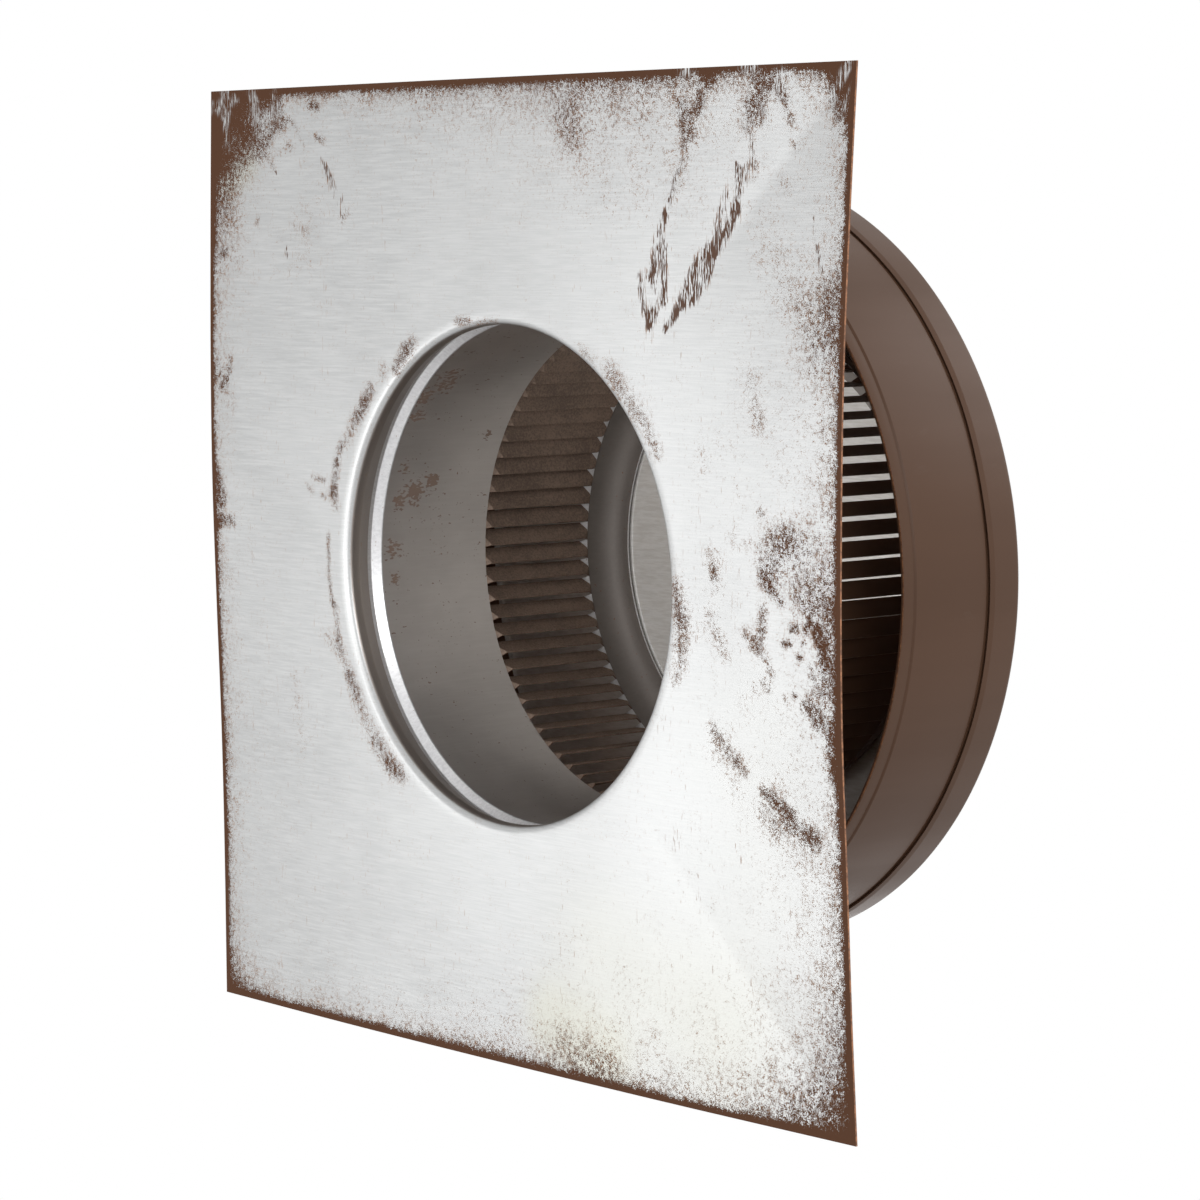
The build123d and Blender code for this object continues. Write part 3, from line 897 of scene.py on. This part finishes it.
class VENT_OT_stage(bpy.types.Operator):
    """Camera, soft lamps, plain light all round and a pale floor"""
    bl_idname = "vent.stage"
    bl_label = "Stage"

    def execute(self, context):
        scene, stage = context.scene, context.scene.vent_stage
        camera = bpy.data.objects.new("camera", bpy.data.cameras.new("camera"))
        scene.collection.objects.link(camera)
        camera.location = stage.camera_place
        camera.rotation_euler = stage.camera_turn
        camera.data.lens = stage.lens
        camera.data.sensor_width = 36
        camera.data.clip_start, camera.data.clip_end = 0.05, 50
        scene.camera = camera
        scene.view_settings.view_transform = "Standard"
        for name, place, aim, size, power in LAMPS:
            lamp = bpy.data.objects.new(name, bpy.data.lights.new(name, "AREA"))
            lamp.data.shape, lamp.data.size, lamp.data.energy = "DISK", size, power
            lamp.location = place
            lamp.rotation_euler = (Vector(aim) - Vector(place)).to_track_quat("-Z", "Y").to_euler()
            scene.collection.objects.link(lamp)
        self.light_all_round(scene, stage)
        self.lay_floor(stage)
        return {"FINISHED"}

    def light_all_round(self, scene, stage):
        """White to the eye and in mirrors, and dimmer as a light."""
        scene.world = bpy.data.worlds.new("studio")
        tree = blank_tree(scene.world)
        path = add(tree, "ShaderNodeLightPath").outputs
        seen = maths(tree, "MAXIMUM", path["Is Camera Ray"],
                     maths(tree, "MAXIMUM", path["Is Glossy Ray"], path["Is Transmission Ray"]))
        strength = ramp(tree, seen, 0, 1, stage.fill, 1)
        light = add(tree, "ShaderNodeBackground", {"Color": (1, 1, 1, 1), "Strength": strength})
        add(tree, "ShaderNodeOutputWorld", {0: light.outputs[0]})

    def lay_floor(self, stage):
        """Floor that shows the shadow and fades to white from above, and is clear from below."""
        shape = bmesh.new()
        bmesh.ops.create_grid(shape, x_segments=1, y_segments=1, size=6)
        bmesh.ops.translate(shape, verts=shape.verts, vec=(0, 0, -stage.floor_depth))
        made = bpy.data.materials.new("pale_floor")
        tree = blank_tree(made)
        path = add(tree, "ShaderNodeLightPath").outputs
        front = maths(tree, "SUBTRACT", 1, add(tree, "ShaderNodeNewGeometry").outputs["Backfacing"])
        shown = times(tree, path["Is Camera Ray"], front)
        place = add(tree, "ShaderNodeTexCoord").outputs["Object"]
        away = add(tree, "ShaderNodeVectorMath", {0: place}, operation="LENGTH").outputs["Value"]
        clear = add(tree, "ShaderNodeBsdfTransparent").outputs[0]
        pale = add(tree, "ShaderNodeBsdfDiffuse", {"Color": (0.86, 0.86, 0.85, 1)}).outputs[0]
        white = add(tree, "ShaderNodeEmission", {"Color": (1, 1, 1, 1), "Strength": 1}).outputs[0]
        far = ramp(tree, away, FADE_START, FADE_END)
        faded = add(tree, "ShaderNodeMixShader", {0: far, 1: pale, 2: white}).outputs[0]
        mixed = add(tree, "ShaderNodeMixShader", {0: shown, 1: clear, 2: faded}).outputs[0]
        add(tree, "ShaderNodeOutputMaterial", {0: mixed})
        floor = new_piece("floor", shape, [])
        floor.data.materials.append(made)


class VENT_OT_flashing(bpy.types.Operator):
    """Square flashing with its collar, gently bowed, bare below and painted above"""
    bl_idname = "vent.flashing"
    bl_label = "Flashing"

    def execute(self, context):
        piece = new_piece("flashing", flashing_mesh(context.scene.vent_flashing), FLASHING_MATERIALS, 50)
        settle(piece, "base_flange")
        return {"FINISHED"}


class VENT_OT_throat(bpy.types.Operator):
    """Belled throat with its ring of lanced, twisted louvres and turned-in shoulder"""
    bl_idname = "vent.throat"
    bl_label = "Throat and louvres"

    def execute(self, context):
        throat, louvres = context.scene.vent_throat, context.scene.vent_louvres
        shape = bmesh.new()
        bell = rounded([(throat.bell_radius, throat.bell_bottom), (throat.bell_radius, throat.bell_top),
                        (throat.radius, throat.wall_bottom), (throat.radius, louvres.bottom)],
                       [1.4 * MM, 1.4 * MM])
        # Below the plain wall the bell takes the lighter sheet, a painted highlight
        bright_top = throat.wall_bottom + 0.5 * MM
        bell_sides = [BRIGHT if height < bright_top else WALL for _, height in bell[1:]]
        shoulder = rounded(
            [(throat.radius, louvres.top), (throat.radius, throat.top), (throat.lip_radius, throat.top)],
            [throat.shoulder])
        # The shoulder takes the darkened sheet, painted shade under the lid
        shoulder_sides = [SHADE_DARKENED] * (len(shoulder) - 1)
        walls = ((bell, bell_sides, (RAW, WALL)), (shoulder, shoulder_sides, (SHADE_DARKENED, BRIGHT)))
        for path, sides, ends in walls:
            lathe(shape, *walled(path, throat.gauge, sides, ends), 320)
        tidy_shell(shape)
        wall = new_piece("throat", shape, [], 30)
        piece = ringed(wall, blade(throat, louvres), louvres)
        settle(piece, "throat_tube")
        return {"FINISHED"}


class VENT_OT_skirt(bpy.types.Operator):
    """Hemmed skirt that hangs round the louvres"""
    bl_idname = "vent.skirt"
    bl_label = "Cap skirt"

    def execute(self, context):
        cap = context.scene.vent_cap
        hem_radius = cap.skirt_radius - cap.hem_step
        hem_top = cap.rim + cap.hem
        groove = cap.skirt_radius - 1 * MM
        outside = [(hem_radius, cap.rim + 0.5 * MM), (hem_radius, hem_top)]
        outside += rounded([(hem_radius, hem_top), (cap.skirt_radius, hem_top + 1.1 * cap.hem_step),
                            (cap.skirt_radius, cap.seam - 1.4 * MM), (groove, cap.seam - 0.1 * MM),
                            (cap.skirt_radius, cap.seam + 2.6 * MM), (cap.skirt_radius, cap.skirt_top)],
                           [0.5 * MM, 0.5 * MM, 0.2 * MM, 0.5 * MM])[1:]
        inside = [(radius - cap.gauge, height) for radius, height in outside[1:]]
        fold = hem_radius - 2.15 * cap.gauge
        hem = [(fold + 0.1 * MM, hem_top), (fold, hem_top - 0.2 * MM), (fold, cap.rim + 0.5 * MM),
               (fold + 0.25 * MM, cap.rim + 0.1 * MM), (hem_radius - 0.75 * cap.gauge, cap.rim),
               (hem_radius - 0.12 * MM, cap.rim + 0.15 * MM)]
        outline = outside + inside[::-1] + hem
        sides = [PAINT] * len(outline)
        sides[-2] = RAW
        shape = bmesh.new()
        lathe(shape, outline, sides, 360)
        tidy_shell(shape)
        piece = new_piece("skirt", shape, MATERIALS, 40)
        settle(piece, "cap_skirt")
        return {"FINISHED"}


class VENT_OT_lid(bpy.types.Operator):
    """Domed lid lapped over the skirt, with its wandering turned-in edge"""
    bl_idname = "vent.lid"
    bl_label = "Cap lid"

    def execute(self, context):
        cap = context.scene.vent_cap
        corner_z = cap.top - cap.dome_radius + math.sqrt(cap.dome_radius ** 2 - cap.lid_radius ** 2)
        steps = 26
        sweep = math.asin(cap.lid_radius / cap.dome_radius)
        dome = [(cap.dome_radius * math.sin(sweep * i / steps),
                 cap.top - cap.dome_radius * (1 - math.cos(sweep * i / steps))) for i in range(steps)]
        edge = [(cap.lid_radius, corner_z), (cap.lid_radius, cap.seam + 2.2 * MM),
                (cap.lid_radius - 0.9 * MM, cap.seam)]
        outside = rounded(dome + edge, [0] * (steps - 1) + [cap.corner, 1.6 * MM])
        inside = thickened(outside, cap.gauge)
        inside[0] = (0, outside[0][1] - cap.gauge)
        outline = outside + inside[::-1]
        sides = [PAINT] * len(outside) + [UNDER] * len(inside)
        loose_side = math.radians(120)

        def bend(radius, height, angle):
            """The lower edge stands off the skirt, most at its loose side, and wanders up and down."""
            low = max(0, 1 - (height - cap.seam) / (9 * MM)) if radius > 0.9 * cap.lid_radius else 0
            wander = (0.55 * math.sin(3 * angle + 0.4) + 0.3 * math.sin(8 * angle)
                      + 0.15 * math.sin(17 * angle + 1))
            opened = 0.5 + 0.5 * math.cos(angle - loose_side)
            return radius + low * low * (0.2 + 0.8 * opened) * 0.9 * MM, height + low * cap.waver * wander

        shape = bmesh.new()
        lathe(shape, outline, sides, 360, closed=False, bend=bend)
        tidy_shell(shape)
        piece = new_piece("lid", shape, MATERIALS, 40)
        settle(piece, "cap_lid")
        return {"FINISHED"}


OPERATORS = (VENT_OT_stage, VENT_OT_flashing, VENT_OT_throat, VENT_OT_skirt, VENT_OT_lid)


class VENT_PT_panel(bpy.types.Panel):
    """Sizes, finishes and makers of the roof vent"""
    bl_label = "Roof Vent"
    bl_idname = "VENT_PT_panel"
    bl_space_type = "VIEW_3D"
    bl_region_type = "UI"
    bl_category = "Roof Vent"

    def draw(self, context):
        for name, group in GROUPS.items():
            box = self.layout.box()
            box.label(text=name.replace("_", " ").capitalize())
            for setting in group.__annotations__:
                box.prop(getattr(context.scene, name), setting)
        for operator in OPERATORS:
            self.layout.operator(operator.bl_idname)


KINDS = (*GROUPS.values(), *OPERATORS, VENT_PT_panel)


def register():
    for kind in KINDS:
        bpy.utils.register_class(kind)
    for name, group in GROUPS.items():
        setattr(bpy.types.Scene, name, bpy.props.PointerProperty(type=group))


def unregister():
    for name in GROUPS:
        delattr(bpy.types.Scene, name)
    for kind in reversed(KINDS):
        bpy.utils.unregister_class(kind)


def main():
    register()
    for operator in OPERATORS:
        getattr(bpy.ops.vent, operator.bl_idname.split(".")[1])()


if __name__ == "__main__":
    main()
